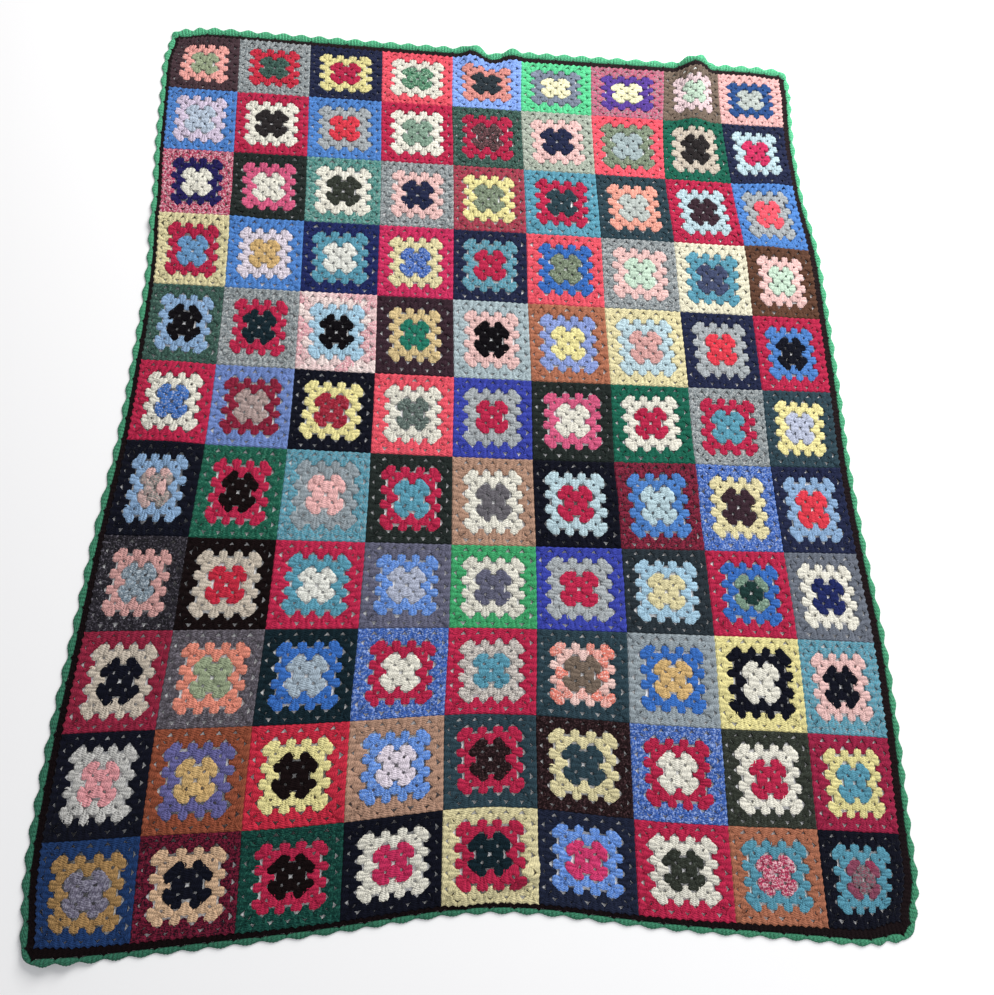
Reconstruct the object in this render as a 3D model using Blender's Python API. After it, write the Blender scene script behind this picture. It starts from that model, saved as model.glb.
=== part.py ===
"""Granny square blanket, laid out on a floor: 99 joined squares, a dark border and a scalloped edging.

Each piece is first laid out flat, as a list of polygons in the plane of the pattern. It is then given
its thickness, and every point of it is moved by lay(), which holds the seam lines, the drawn-in corners
and the folds of the cloth as it lies. Lengths are in metres, angles in radians.
"""

import math

import bpy
import numpy as np
from mathutils import Vector

# ------------------------------------------------------------------ sizes
CM = 0.01
COLUMNS, ROWS = 9, 11  # squares across and along
PITCH_X, PITCH_Y = 0.138, 0.144  # one square, across and along
THICK = 0.004  # a round of trebles in double-knitting yarn
GAP = 0.0003  # between one piece and the next
# The dark band's width at the left, the middle and the right of the far edge, then of the near one.
BORDER_FAR, BORDER_NEAR = (0.0065, 0.0135, 0.0115), (0.012, 0.006, 0.014)
EDGING = 0.0072  # the shell edging in its valleys
SHELL = 0.0056  # how far a shell stands out past the valleys
SHELLS_A_SQUARE = 4
FAR_SHELLS = 1.35  # the edging is so many times as wide along the far edge
CORNER_EASE = 0.22  # by how much the rings are narrower where they turn a corner
RING_HOLE = 0.008  # the ring that each square starts from
CORNER_HOLE = 0.0062  # the chain space at each corner of the third round
HALF_X, HALF_Y = COLUMNS * PITCH_X / 2, ROWS * PITCH_Y / 2

# Seam lines across the blanket, from the far edge to the near one, in cm. y_* is where the line lies at
# the left edge, in the middle and at the right edge. x_* is how far the squares there are shifted across.
SEAM_COLUMNS = ("y_left", "y_mid", "y_right", "x_left", "x_mid", "x_right")
SEAMS = (
    (78.2, 77.3, 78.2, -1.7, -0.9, -0.5),
    (65.0, 65.0, 65.3, -0.7, -0.9, -1.6),
    (50.9, 51.0, 50.6, 0.1, -0.5, -1.8),
    (36.7, 36.7, 36.2, 1.3, -0.2, -0.2),
    (22.5, 21.9, 21.3, 2.0, -0.1, 0.0),
    (7.8, 6.6, 6.4, 2.0, 0.3, 0.0),
    (-6.5, -8.0, -8.0, 1.7, 0.3, -0.2),
    (-22.4, -23.0, -23.3, 0.6, 0.5, 0.4),
    (-37.3, -36.6, -38.1, -0.1, 0.4, 1.2),
    (-51.8, -50.6, -52.8, -0.9, 0.0, 1.1),
    (-66.0, -64.5, -66.6, -1.1, 0.0, 0.6),
    (-79.5, -77.0, -80.0, -0.6, 0.0, 0.7),
)
# Seam lines along the blanket, from left to right, in cm.
COLUMN_SEAMS = (-61.0, -48.4, -34.9, -21.0, -7.2, 6.5, 20.7, 34.8, 48.4, 61.0)

# Folds, in cm, in the plane of the laid blanket: a ridge from (x0, y0) to (x1, y1), which reaches `wide`
# to each side, stands `high` at its first end and `end` at its last, and fades over `fade` past each end.
FOLD_COLUMNS = ("name", "x0", "y0", "x1", "y1", "wide", "high", "end", "fade")
FOLDS = (
    ("pleat at the far edge", 42.0, 82.0, 40.5, 64.0, 4.4, 2.4, 1.0, 9.0),
    ("ripple at the far edge", -4.2, 82.0, -4.2, 74.0, 3.1, 1.3, 0.5, 5.0),
    ("second ripple", 3.6, 82.0, 4.2, 75.0, 2.6, 0.8, 0.3, 4.0),
    ("tuck at the near edge", -4.5, -73.4, 5.0, -70.6, 2.2, 0.8, 1.1, 2.8),
    ("near left corner", -57.0, -66.0, -59.0, -84.0, 7.0, 0.7, 1.3, 9.0),
    ("soft wave under row 10", -42.0, -63.5, -12.0, -59.5, 8.0, 0.5, 0.8, 9.0),
    ("soft wave at the left", -53.0, 2.0, -51.0, -28.0, 7.5, 0.6, 0.5, 9.0),
    ("soft wave at the right", 56.0, 52.0, 51.0, 30.0, 7.5, 0.7, 0.4, 9.0),
    ("soft wave in row 3", -60.0, 35.0, -46.0, 37.5, 6.0, 0.5, 0.5, 6.0),
    ("soft wave near the middle", 12.0, -18.0, 34.0, -10.0, 8.0, 0.4, 0.6, 9.0),
)
PLEAT_AT, PLEAT_GATHER, PLEAT_REACH = 42.0, 1.1, 7.0  # the pleat draws its two sides in, in cm
ARCH_LIFT, ARCH_HALF = 2.4, 14.0  # the middle of the near edge is drawn up, in cm
NOTCH_X, NOTCH_DEEP, NOTCH_HALF = -0.2, 1.0, 2.2  # between the two ripples, in cm
# How far each corner is drawn in towards the middle, and over what distance, in cm.
CORNERS = ((-1, 1, 1.9, 5.0), (1, 1, 0.9, 4.5), (1, -1, 2.4, 5.2), (-1, -1, 1.4, 6.5))


# ------------------------------------------------------------------ how the cloth lies
def smooth(t):
    """0 below 0, 1 above 1, and a soft step between."""
    t = min(max(t, 0.0), 1.0)
    return t * t * (3 - 2 * t)


def through(values, t):
    """A smooth curve through evenly spaced values, and straight on past its ends."""
    last = len(values) - 1
    if t <= 0:
        return values[0] + (values[1] - values[0]) * t
    if t >= last:
        return values[last] + (values[last] - values[last - 1]) * (t - last)
    i = int(t)
    f = t - i
    a = values[i - 1] if i > 0 else 2 * values[0] - values[1]
    b, c = values[i], values[i + 1]
    d = values[i + 2] if i + 2 <= last else 2 * values[last] - values[last - 1]
    return 0.5 * (2 * b + (c - a) * f + (2 * a - 5 * b + 4 * c - d) * f**2 + (3 * b - a - 3 * c + d) * f**3)


def bent(left, mid, right, s):
    """The parabola through three values at s = -1, 0 and 1."""
    return mid + (right - left) / 2 * s + ((left + right) / 2 - mid) * s * s


def ridge(x, y, fold):
    """Height in cm of one fold at (x, y) in cm."""
    _, x0, y0, x1, y1, wide, high, end, fade = fold
    length = math.hypot(x1 - x0, y1 - y0)
    ux, uy = (x1 - x0) / length, (y1 - y0) / length
    along = (x - x0) * ux + (y - y0) * uy
    across = abs((y - y0) * ux - (x - x0) * uy)
    if across >= wide:
        return 0.0
    past = max(-along, along - length, 0.0)
    t = min(max(along / length, 0.0), 1.0)
    return (high + (end - high) * t) * (1 - smooth(past / fade)) * math.cos(math.pi / 2 * across / wide) ** 2


def spread(px, py):
    """Where the flat point (px, py) lies in plan, in cm, before the cloth is raised."""
    row = ROWS / 2 - py / PITCH_Y
    s = px / HALF_X
    y_left, y_mid, y_right, x_left, x_mid, x_right = (
        through([line[k] for line in SEAMS], row) for k in range(len(SEAM_COLUMNS))
    )
    x = through(COLUMN_SEAMS, px / PITCH_X + COLUMNS / 2) + bent(x_left, x_mid, x_right, s)
    y = bent(y_left, y_mid, y_right, s)
    # the pleat draws its sides in
    d = (x - PLEAT_AT) / PLEAT_REACH
    x -= PLEAT_GATHER * smooth((y - 50) / 26) * d * math.exp(0.5 - 0.5 * d * d)
    # the near edge is drawn up in its middle
    y += ARCH_LIFT * smooth((-26 - y) / 42) * math.exp(-0.5 * (x / ARCH_HALF) ** 2)
    # the notch between the two ripples
    y -= NOTCH_DEEP * smooth((y - 70) / 8) * math.exp(-(((x - NOTCH_X) / NOTCH_HALF) ** 2))
    # the corners are drawn in
    for side, end, pull, reach in CORNERS:
        away = math.hypot(px / CM - side * HALF_X / CM, py / CM - end * HALF_Y / CM)
        give = pull * math.exp(-((away / reach) ** 2)) / math.sqrt(2)
        x -= side * give
        y -= end * give
    return x, y


def under(px, py):
    """The underside of the laid cloth at the flat point (px, py)."""
    x, y = spread(px, py)
    height = sum(ridge(x, y, fold) for fold in FOLDS)
    return Vector((x * CM, y * CM, height * CM))


def lay(px, py, w):
    """The point w above the underside, square to the cloth."""
    step = 0.001
    at = under(px, py)
    across = under(px + step, py) - under(px - step, py)
    along = under(px, py + step) - under(px, py - step)
    return at + across.cross(along).normalized() * w


# ------------------------------------------------------------------ a flat layout becomes a solid
def laid_solid(name, polygons, colour):
    """One closed object from polygons in the plane, given THICK and laid by lay()."""
    index, flat, faces = {}, [], []
    for polygon in polygons:
        face = []
        for x, y in polygon:
            key = (round(x, 6), round(y, 6))
            if key not in index:
                index[key] = len(flat)
                flat.append((x, y))
            if not face or face[-1] != index[key]:
                face.append(index[key])
        faces.append(face)
    n = len(flat)
    points = [lay(x, y, 0.0) for x, y in flat] + [lay(x, y, THICK) for x, y in flat]
    solid = [[i + n for i in face] for face in faces] + [face[::-1] for face in faces]
    edges = {(a, b) for face in faces for a, b in zip(face, face[1:] + face[:1])}
    rim = [(a, b) for a, b in edges if (b, a) not in edges]
    for a, b in rim:  # both walls of a gap are split along the same diagonal, so they stay parallel
        if flat[a] < flat[b]:
            solid += [(a, b, b + n), (a, b + n, a + n)]
        else:
            solid += [(a, b, a + n), (b, b + n, a + n)]
    mesh = bpy.data.meshes.new(name)
    mesh.from_pydata(points, [], solid)
    mesh.validate()
    material = bpy.data.materials.new(name + "_yarn")
    material.use_nodes = True
    shader = material.node_tree.nodes["Principled BSDF"]
    shader.inputs["Base Color"].default_value = (*colour, 1.0)
    shader.inputs["Roughness"].default_value = 0.95
    mesh.materials.append(material)
    obj = bpy.data.objects.new(name, mesh)
    return obj


# ------------------------------------------------------------------ grid lines of the field
COARSE = (0.0, 0.36, 0.64)  # of a square
FINE = tuple(k / 7 for k in range(7))
FINE_COLUMNS, FINE_ROWS = (4, 7), (10,)  # under the ripples and the pleat, and the tuck


def lines(count, fine, pitch, half):
    """Grid lines over `count` squares, closer together in the fine ones, and each square's cell starts."""
    marks, starts = [], []
    for k in range(count):
        starts.append(len(marks))
        marks += [(k + f) * pitch - half for f in (FINE if k in fine else COARSE)]
    return marks + [half], starts


LINES_X, START_X = lines(COLUMNS, FINE_COLUMNS, PITCH_X, HALF_X)
far_first, START_Y = lines(ROWS, FINE_ROWS, PITCH_Y, HALF_Y)
LINES_Y = [-y for y in far_first]  # from the far edge to the near one


# ------------------------------------------------------------------ the holes
def holes_of_square(column, row):
    """(centre x, centre y, half width, half length) of the holes of one square, in the flat."""
    cx, cy = (column + 0.5) * PITCH_X - HALF_X, HALF_Y - (row + 0.5) * PITCH_Y
    found = [(cx, cy, RING_HOLE / 2, RING_HOLE / 2)]
    if (column + row) % 2 == 0:
        for sx in (-1, 1):
            for sy in (-1, 1):
                x, y = cx + sx * 0.25 * PITCH_X, cy + sy * 0.25 * PITCH_Y
                found.append((x, y, CORNER_HOLE / 2, CORNER_HOLE / 2))
    return found


# Where four squares meet, one corner has come open: the far left corner of the square in column 7, row 7.
OPEN_CORNER = (1.5 * PITCH_X + 0.0080, HALF_Y - 6 * PITCH_Y - 0.0115, 0.0055, 0.0085)

HOLES = [hole for row in range(ROWS) for column in range(COLUMNS) for hole in holes_of_square(column, row)]
HOLES = [h for h in HOLES if math.hypot(h[0] - OPEN_CORNER[0], h[1] - OPEN_CORNER[1]) > 0.03] + [OPEN_CORNER]
print("holes cut through the field:", len(HOLES))


def fits(hole, left, right, far, near):
    x, y, hw, hl = hole
    return left < x - hw and x + hw < right and near < y - hl and y + hl < far


def holed_cell(left, right, far, near, hole):
    """Four polygons round a hole in one cell, anticlockwise seen from above."""
    x, y, hw, hl = hole
    outer = [(left, near), (right, near), (right, far), (left, far)]
    inner = [(x - hw, y - hl), (x + hw, y - hl), (x + hw, y + hl), (x - hw, y + hl)]
    return [(outer[k], outer[(k + 1) % 4], inner[(k + 1) % 4], inner[k]) for k in range(4)]


field = []
for left, right in zip(LINES_X, LINES_X[1:]):
    for far, near in zip(LINES_Y, LINES_Y[1:]):
        inside = [hole for hole in HOLES if fits(hole, left, right, far, near)]
        if inside:
            field += holed_cell(left, right, far, near, inside[0])
        else:
            field.append([(left, near), (right, near), (right, far), (left, far)])
print("cells and polygons of the field:", len(field))


# ------------------------------------------------------------------ rings round the field
def band_width(x, y):
    """Width of the dark band at a place on the field's rim: it was worked more loosely at the near corners."""
    up = 0.5 + y / (2 * HALF_Y)
    return bent(*BORDER_NEAR, x / HALF_X) * (1 - up) + bent(*BORDER_FAR, x / HALF_X) * up


def edging_width(shape, outward_y):
    """Width of the edging where a shell stands out by `shape`, 0 to 1, and outwards is so far towards +Y."""
    return (EDGING + SHELL * shape) * (1 + (FAR_SHELLS - 1) * max(0.0, outward_y))


def loop(gaps, bands, shells, between, corner_steps):
    """Stations round the field, anticlockwise from its near left corner.

    Each is (place along the loop, point), so that two loops can be joined. It stands out from the rim by
    gaps * GAP, by the dark band's width where bands is 1, and by the edging's where shells is 1. `between`
    lists the stations along each side as fractions of it, and each corner has corner_steps steps.
    """
    ends = ((-HALF_X, -HALF_Y), (HALF_X, -HALF_Y), (HALF_X, HALF_Y), (-HALF_X, HALF_Y))
    outward = ((0, -1), (1, 0), (0, 1), (-1, 0))
    stations = []
    for side in range(4):
        cx, cy = ends[side]
        ex, ey = ends[(side + 1) % 4]
        for k in range(corner_steps + 1):
            f = k / corner_steps
            turn = math.pi * (1 + side / 2 + f / 2)
            out = bands * band_width(cx, cy) + shells * edging_width(shell_shape(f), math.sin(turn))
            out = gaps * GAP + out * (1 - CORNER_EASE * math.sin(math.pi * f))
            stations.append((10 * side + 0.5 * (f - 1), (cx + math.cos(turn) * out, cy + math.sin(turn) * out)))
        for f in between[side]:
            x, y = cx + (ex - cx) * f, cy + (ey - cy) * f
            out = gaps * GAP + bands * band_width(x, y)
            out += shells * edging_width(shell_shape(f * shells_along(side)), outward[side][1])
            stations.append((10 * side + 9 * f, (x + outward[side][0] * out, y + outward[side][1] * out)))
    return stations


def ring(inner, outer):
    """Triangles between two loops, taking the nearer next station of the two in turn."""
    a, b = 0, 0
    na, nb = len(inner), len(outer)
    out = []
    while a < na or b < nb:
        next_a = inner[(a + 1) % na][0] + (40 if a + 1 >= na else 0)
        next_b = outer[(b + 1) % nb][0] + (40 if b + 1 >= nb else 0)
        pa, pb = inner[a % na][1], outer[b % nb][1]
        if b >= nb or (a < na and next_a <= next_b):
            out.append((pb, inner[(a + 1) % na][1], pa))
            a += 1
        else:
            out.append((pb, outer[(b + 1) % nb][1], pa))
            b += 1
    return out


def side_fractions():
    """The field's own grid lines along its four sides, as fractions of each side."""
    x = [(m + HALF_X) / (2 * HALF_X) for m in LINES_X[1:-1]]
    y = sorted((m + HALF_Y) / (2 * HALF_Y) for m in LINES_Y[1:-1])
    return [x, y, [1 - f for f in reversed(x)], [1 - f for f in reversed(y)]]


SHELL_STEPS = (0.0, 0.85, 0.85)  # a shell's outline at its start and at each third of its width


def shell_shape(turns):
    """How far out the edge stands, 0 to 1, after so many shells."""
    return SHELL_STEPS[round(turns * len(SHELL_STEPS)) % len(SHELL_STEPS)]


def shells_along(side):
    return SHELLS_A_SQUARE * (ROWS if side % 2 else COLUMNS)


def shell_fractions():
    """Three stations a shell along each side, as fractions of it."""
    counts = [shells_along(side) * len(SHELL_STEPS) for side in range(4)]
    return [[k / count for k in range(1, count)] for count in counts]


grid = side_fractions()
border_inner = loop(1, 0, 0, grid, 1)
border_outer = loop(1, 1, 0, grid, 2)
edging_inner = loop(2, 1, 0, grid, 2)
edging_outer = loop(2, 1, 1, shell_fractions(), 3)

# ------------------------------------------------------------------ build
for obj in list(bpy.data.objects):
    bpy.data.objects.remove(obj, do_unlink=True)
blanket = bpy.data.collections.new("granny_square_blanket")
bpy.context.scene.collection.children.link(blanket)

parts = [
    laid_solid("granny_square_field", field, (0.55, 0.36, 0.34)),
    laid_solid("dark_border", ring(border_inner, border_outer), (0.03, 0.02, 0.02)),
    laid_solid("shell_edging", ring(edging_inner, edging_outer), (0.06, 0.42, 0.26)),
]
# The blanket's box is centred on the origin, and its underside rests at z = 0.
corners = np.array([v.co[:] for part in parts for v in part.data.vertices])
middle = (corners.max(0) + corners.min(0)) / 2
for part in parts:
    for v in part.data.vertices:
        v.co.x -= middle[0]
        v.co.y -= middle[1]
    blanket.objects.link(part)
    part.data.calc_loop_triangles()
    print(part.name, "triangles", len(part.data.loop_triangles))
print("middle moved from", middle, "size", corners.max(0) - corners.min(0))
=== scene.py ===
# %% [markdown]
# # A granny square blanket
#
# Ninety-nine crocheted squares, nine across and eleven along, are joined edge to edge, and a dark band and a
# green shell edging run round them. The blanket lies spread on a pale floor, with a few small folds.
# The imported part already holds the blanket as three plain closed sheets. This script dresses them: it makes
# every group of three treble stitches as a small puffed fan, lays all the fans on the same folds as the plain
# sheets, and gives them yarn. Lengths are metres, unless a name or a comment says cm, mm or half squares.
# Half squares count from the middle of a square: 1 is its seam.

# %% Load the plain part and remember its box
import math

import bpy
import numpy as np
from mathutils import Matrix, Vector


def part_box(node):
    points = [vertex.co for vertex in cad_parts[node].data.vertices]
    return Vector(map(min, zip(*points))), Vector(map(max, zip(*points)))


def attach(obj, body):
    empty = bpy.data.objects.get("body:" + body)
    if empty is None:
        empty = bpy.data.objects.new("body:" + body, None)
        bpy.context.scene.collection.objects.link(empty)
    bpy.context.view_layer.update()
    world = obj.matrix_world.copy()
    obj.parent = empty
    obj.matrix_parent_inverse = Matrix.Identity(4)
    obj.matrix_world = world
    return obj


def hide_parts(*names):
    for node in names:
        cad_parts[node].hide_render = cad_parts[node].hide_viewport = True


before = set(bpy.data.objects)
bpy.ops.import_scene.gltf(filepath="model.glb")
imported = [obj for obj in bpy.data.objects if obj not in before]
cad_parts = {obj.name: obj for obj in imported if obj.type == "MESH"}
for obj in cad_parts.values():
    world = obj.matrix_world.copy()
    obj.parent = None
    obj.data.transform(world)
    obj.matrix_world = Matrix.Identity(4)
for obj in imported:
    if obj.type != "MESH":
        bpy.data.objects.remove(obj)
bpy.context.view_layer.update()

# %% [markdown]
# ## The camera
#
# The blanket is looked at from above its near edge, at a wide angle. A camera can be aimed with a Track To
# constraint, but three direction vectors say its slight roll as well, so they go straight into its matrix.

# %% Place the camera
CAMERA_AT = (-0.0922, -0.4859, 1.1382)
CAMERA_RIGHT = (0.99637, -0.00119, 0.08511)
CAMERA_UP = (-0.02332, 0.95782, 0.28641)
IMAGE_WIDTH, FOCAL_LENGTH_IN_PIXELS = 994, 720.0

camera = bpy.data.objects.new("camera", bpy.data.cameras.new("camera"))
bpy.context.scene.collection.objects.link(camera)
right, up = Vector(CAMERA_RIGHT).normalized(), Vector(CAMERA_UP).normalized()
back = right.cross(up).normalized()
camera.matrix_world = Matrix.Translation(CAMERA_AT) @ Matrix((right, up, back)).transposed().to_4x4()
camera.data.sensor_fit = "HORIZONTAL"
camera.data.angle = 2 * math.atan(IMAGE_WIDTH / 2 / FOCAL_LENGTH_IN_PIXELS)
bpy.context.scene.camera = camera
print("camera sees", round(math.degrees(camera.data.angle), 1), "degrees across")

# %% [markdown]
# ## How the cloth lies
#
# The pattern is thought of as flat: squares on an even grid. One function then moves every flat point to
# where the laid cloth has it. It follows the crooked seam lines, and lifts the cloth over each fold. Cloth
# simulation could drop the blanket on the floor too, but it would choose its own folds, and these are wanted
# at given places. The same small tables made the plain sheets, so what is laid here sits exactly on them.

# %% Sizes of the pattern and the table of seam lines
CM, MM = 0.01, 0.001
COLUMNS, ROWS = 9, 11
PITCH_X, PITCH_Y = 0.138, 0.144  # one square, across and along
HALF_X, HALF_Y = COLUMNS * PITCH_X / 2, ROWS * PITCH_Y / 2

# Seam lines across the blanket, from the far edge to the near one, in cm. y_* is where the line lies at
# the left edge, in the middle and at the right edge. x_* is how far the squares there are shifted across.
SEAM_COLUMNS = ("y_left", "y_mid", "y_right", "x_left", "x_mid", "x_right")
SEAMS = (
    (78.2, 77.3, 78.2, -1.7, -0.9, -0.5),
    (65.0, 65.0, 65.3, -0.7, -0.9, -1.6),
    (50.9, 51.0, 50.6, 0.1, -0.5, -1.8),
    (36.7, 36.7, 36.2, 1.3, -0.2, -0.2),
    (22.5, 21.9, 21.3, 2.0, -0.1, 0.0),
    (7.8, 6.6, 6.4, 2.0, 0.3, 0.0),
    (-6.5, -8.0, -8.0, 1.7, 0.3, -0.2),
    (-22.4, -23.0, -23.3, 0.6, 0.5, 0.4),
    (-37.3, -36.6, -38.1, -0.1, 0.4, 1.2),
    (-51.8, -50.6, -52.8, -0.9, 0.0, 1.1),
    (-66.0, -64.5, -66.6, -1.1, 0.0, 0.6),
    (-79.5, -77.0, -80.0, -0.6, 0.0, 0.7),
)
COLUMN_SEAMS = (-61.0, -48.4, -34.9, -21.0, -7.2, 6.5, 20.7, 34.8, 48.4, 61.0)  # left to right, in cm

# %% The table of folds
# Each is a ridge from (x0, y0) to (x1, y1), in cm. It reaches `wide` to each side, stands `high` at its first
# end and `end` at its last, and fades over `fade` past each end.
FOLD_COLUMNS = ("name", "x0", "y0", "x1", "y1", "wide", "high", "end", "fade")
FOLDS = (
    ("pleat at the far edge", 42.0, 82.0, 40.5, 64.0, 4.4, 2.4, 1.0, 9.0),
    ("ripple at the far edge", -4.2, 82.0, -4.2, 74.0, 3.1, 1.3, 0.5, 5.0),
    ("second ripple", 3.6, 82.0, 4.2, 75.0, 2.6, 0.8, 0.3, 4.0),
    ("tuck at the near edge", -4.5, -73.4, 5.0, -70.6, 2.2, 0.8, 1.1, 2.8),
    ("near left corner", -57.0, -66.0, -59.0, -84.0, 7.0, 0.7, 1.3, 9.0),
    ("soft wave under row 10", -42.0, -63.5, -12.0, -59.5, 8.0, 0.5, 0.8, 9.0),
    ("soft wave at the left", -53.0, 2.0, -51.0, -28.0, 7.5, 0.6, 0.5, 9.0),
    ("soft wave at the right", 56.0, 52.0, 51.0, 30.0, 7.5, 0.7, 0.4, 9.0),
    ("soft wave in row 3", -60.0, 35.0, -46.0, 37.5, 6.0, 0.5, 0.5, 6.0),
    ("soft wave near the middle", 12.0, -18.0, 34.0, -10.0, 8.0, 0.4, 0.6, 9.0),
)
assert all(len(fold) == len(FOLD_COLUMNS) for fold in FOLDS)

# Other places where the cloth is drawn out of line, in cm. The first three grow from one y to another.
PLEAT_AT, PLEAT_GATHER, PLEAT_REACH = 42.0, 1.1, 7.0  # the pleat draws its two sides in
PLEAT_FROM, PLEAT_FULL = 50, 76
ARCH_LIFT, ARCH_HALF = 2.4, 14.0  # the middle of the near edge is drawn up
ARCH_FROM, ARCH_FULL = -26, -68
NOTCH_X, NOTCH_DEEP, NOTCH_HALF = -0.2, 1.0, 2.2  # the edge dips between the two ripples
NOTCH_FROM, NOTCH_FULL = 70, 78
# side, end, how far the corner is drawn in, and from how far away
CORNERS = ((-1, 1, 1.9, 5.0), (1, 1, 0.9, 4.5), (1, -1, 2.4, 5.2), (-1, -1, 1.4, 6.5))
print("seam lines:", len(SEAMS), "and", len(COLUMN_SEAMS), "- folds:", len(FOLDS))


# %% Lay any flat point on the folds
def smooth(t):
    """0 below 0, 1 above 1, and the cubic 3t^2 - 2t^3 between."""
    t = np.clip(t, 0.0, 1.0)
    return t * t * (3 - 2 * t)


def through(values, t):
    """A smooth curve through evenly spaced values (each stretch is the cubic that also heeds the values
    before and after it), and straight on past its ends."""
    values = np.asarray(values, float)
    last = len(values) - 1
    longer = np.concatenate([[2 * values[0] - values[1]], values, [2 * values[-1] - values[-2]]])
    i = np.clip(np.floor(t).astype(int), 0, last - 1)
    a, b, c, d = (longer[i + k] for k in range(4))
    f = np.clip(t - i, 0, 1)
    curve = 2 * b + (c - a) * f + (2 * a - 5 * b + 4 * c - d) * f**2 + (3 * b - a - 3 * c + d) * f**3
    before = np.minimum(t, 0) * (values[1] - values[0])
    after = np.maximum(t - last, 0) * (values[-1] - values[-2])
    return 0.5 * curve + before + after


def bent(left, mid, right, s):
    """The parabola through three values at s = -1, 0 and 1."""
    return mid + (right - left) / 2 * s + ((left + right) / 2 - mid) * s * s


def ridge(x, y, fold):
    """Height of one fold in cm: a squared cosine across it, a straight slope along it, a fade past it."""
    _, x0, y0, x1, y1, wide, high, end, fade = fold
    length = math.hypot(x1 - x0, y1 - y0)
    ux, uy = (x1 - x0) / length, (y1 - y0) / length
    along = (x - x0) * ux + (y - y0) * uy
    across = np.minimum(np.abs((y - y0) * ux - (x - x0) * uy), wide)
    past = np.maximum(np.maximum(-along, along - length), 0.0)
    t = np.clip(along / length, 0.0, 1.0)
    return (high + (end - high) * t) * (1 - smooth(past / fade)) * np.cos(math.pi / 2 * across / wide) ** 2


def spread(px, py):
    """Where flat points lie in plan, in cm. The seam tables come first: a curve through the seam lines, with
    a parabola across each. Then the pleat, arch, notch and corners move points by bell curves."""
    row, s = ROWS / 2 - py / PITCH_Y, px / HALF_X
    lines = [through([line[k] for line in SEAMS], row) for k in range(len(SEAM_COLUMNS))]
    x = through(COLUMN_SEAMS, px / PITCH_X + COLUMNS / 2) + bent(*lines[3:], s)
    y = bent(*lines[:3], s)
    d = (x - PLEAT_AT) / PLEAT_REACH
    gathered = smooth((y - PLEAT_FROM) / (PLEAT_FULL - PLEAT_FROM))
    x = x - PLEAT_GATHER * gathered * d * np.exp(0.5 - 0.5 * d * d)
    arched = smooth((ARCH_FROM - y) / (ARCH_FROM - ARCH_FULL))
    y = y + ARCH_LIFT * arched * np.exp(-0.5 * (x / ARCH_HALF) ** 2)
    notched = smooth((y - NOTCH_FROM) / (NOTCH_FULL - NOTCH_FROM))
    y = y - NOTCH_DEEP * notched * np.exp(-(((x - NOTCH_X) / NOTCH_HALF) ** 2))
    for side, end, pull, reach in CORNERS:
        away = np.hypot(px - side * HALF_X, py - end * HALF_Y) / CM
        give = pull * np.exp(-((away / reach) ** 2)) / math.sqrt(2)
        x, y = x - side * give, y - end * give
    return x, y


def under(px, py):
    """The underside of the laid cloth, as points."""
    x, y = spread(px, py)
    return np.stack([x * CM, y * CM, sum(ridge(x, y, fold) for fold in FOLDS) * CM], axis=-1)


def laid(px, py, w):
    """Points w above the underside, square to the cloth: the cross product of its slopes gives the way."""
    step = 0.001
    across = under(px + step, py) - under(px - step, py)
    along = under(px, py + step) - under(px, py - step)
    normal = np.cross(across, along)
    normal /= np.linalg.norm(normal, axis=-1, keepdims=True)
    return under(px, py) + normal * np.asarray(w)[..., None]


# The plain sheets were centred on the origin once they were laid, so the same shift is measured and applied.
SHEET_THICK = 4 * MM
rim = np.linspace(-1, 1, 801)
even, top = np.ones_like(rim), np.full_like(rim, SHEET_THICK)
sides = [laid(rim * HALF_X, s * HALF_Y * even, top) for s in (-1, 1)]
sides += [laid(s * HALF_X * even, rim * HALF_Y, top) for s in (-1, 1)]
outline = np.concatenate(sides)
field_low, field_high = (np.array(corner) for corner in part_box("granny_square_field"))
SHIFT = (outline.min(0) + outline.max(0) - field_low - field_high) / 2 * (1, 1, 0)
print("the laid pattern is shifted by", np.round(SHIFT * 1000, 2), "mm")

# %% [markdown]
# ## The yarns
#
# Such a blanket uses up leftovers, so the same yarns turn up again and again. Each has a colour, and some
# have a second one: a marl is two strands spun together, so the second colour shows as flecks. The chart says
# which three yarns each square has, from its middle out, two rounds of each. It could be a small painted
# picture, but a chart of yarn names is how a maker would note it down, and it can be changed by hand.


# %% The yarn basket
def linear(hex_colour):
    """An sRGB hex colour as the linear values that Blender's colour sockets take."""
    v = np.array([int(hex_colour[k : k + 2], 16) for k in (0, 2, 4)]) / 255
    return np.where(v <= 0.04045, v / 12.92, ((v + 0.055) / 1.055) ** 2.4)


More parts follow.
